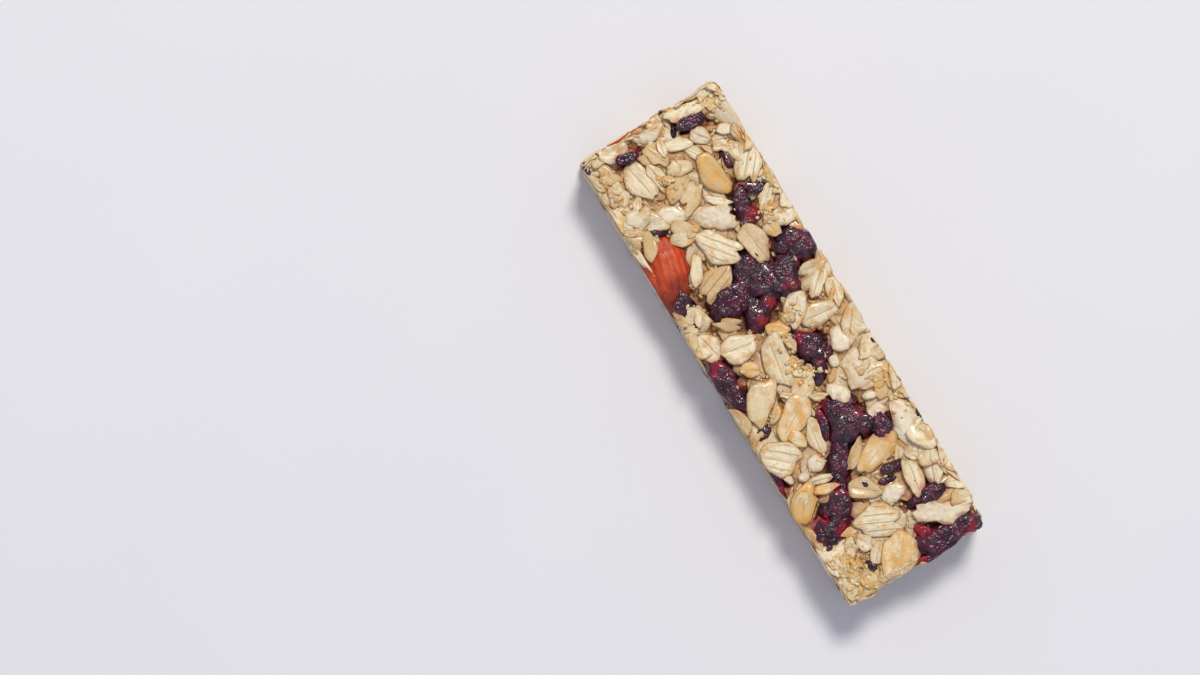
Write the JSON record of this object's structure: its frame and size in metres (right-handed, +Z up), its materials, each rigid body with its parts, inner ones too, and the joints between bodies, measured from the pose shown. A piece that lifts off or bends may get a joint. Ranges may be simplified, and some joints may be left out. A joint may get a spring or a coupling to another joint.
{
  "type": "granola bar",
  "caption": "Flat pressed bar of rolled oats and crisped rice, set with almonds, peanut halves and dried cranberries; it rests on its underside.",
  "frame": {"origin": "middle of the bar's bounding box in plan, on the underside it rests on", "axes": "+X along the bar, +Y across it, +Z up out of its shown face"},
  "size_m": [0.1047, 0.0326, 0.0155],
  "materials": {
    "oat": "rough cream and golden rolled oats and crisped rice, bound with amber syrup",
    "almond": "satin red-brown ribbed skin over cream flesh",
    "peanut": "smooth tan, with a thin film of syrup",
    "cranberry": "wrinkled glossy dark purple, crimson where thin"
  },
  "bodies": {
    "root": {"almond_1": "almond", "almond_2": "almond", "almond_3": "almond", "almond_4": "almond", "almond_5": "almond", "cranberry_top_1": "cranberry", "cranberry_top_10": "cranberry", "cranberry_top_11": "cranberry", "cranberry_top_12": "cranberry", "cranberry_top_13": "cranberry", "cranberry_top_14": "cranberry", "cranberry_top_15": "cranberry", "cranberry_top_16": "cranberry", "cranberry_top_17": "cranberry", "cranberry_top_18": "cranberry", "cranberry_top_2": "cranberry", "cranberry_top_3": "cranberry", "cranberry_top_4": "cranberry", "cranberry_top_5": "cranberry", "cranberry_top_6": "cranberry", "cranberry_top_7": "cranberry", "cranberry_top_8": "cranberry", "cranberry_top_9": "cranberry", "cranberry_under_1": "cranberry", "cranberry_under_2": "cranberry", "cranberry_under_3": "cranberry", "cranberry_under_4": "cranberry", "oat_slab": "oat", "peanut_under_1": "peanut", "peanut_under_2": "peanut"}
  },
  "joints": []
}
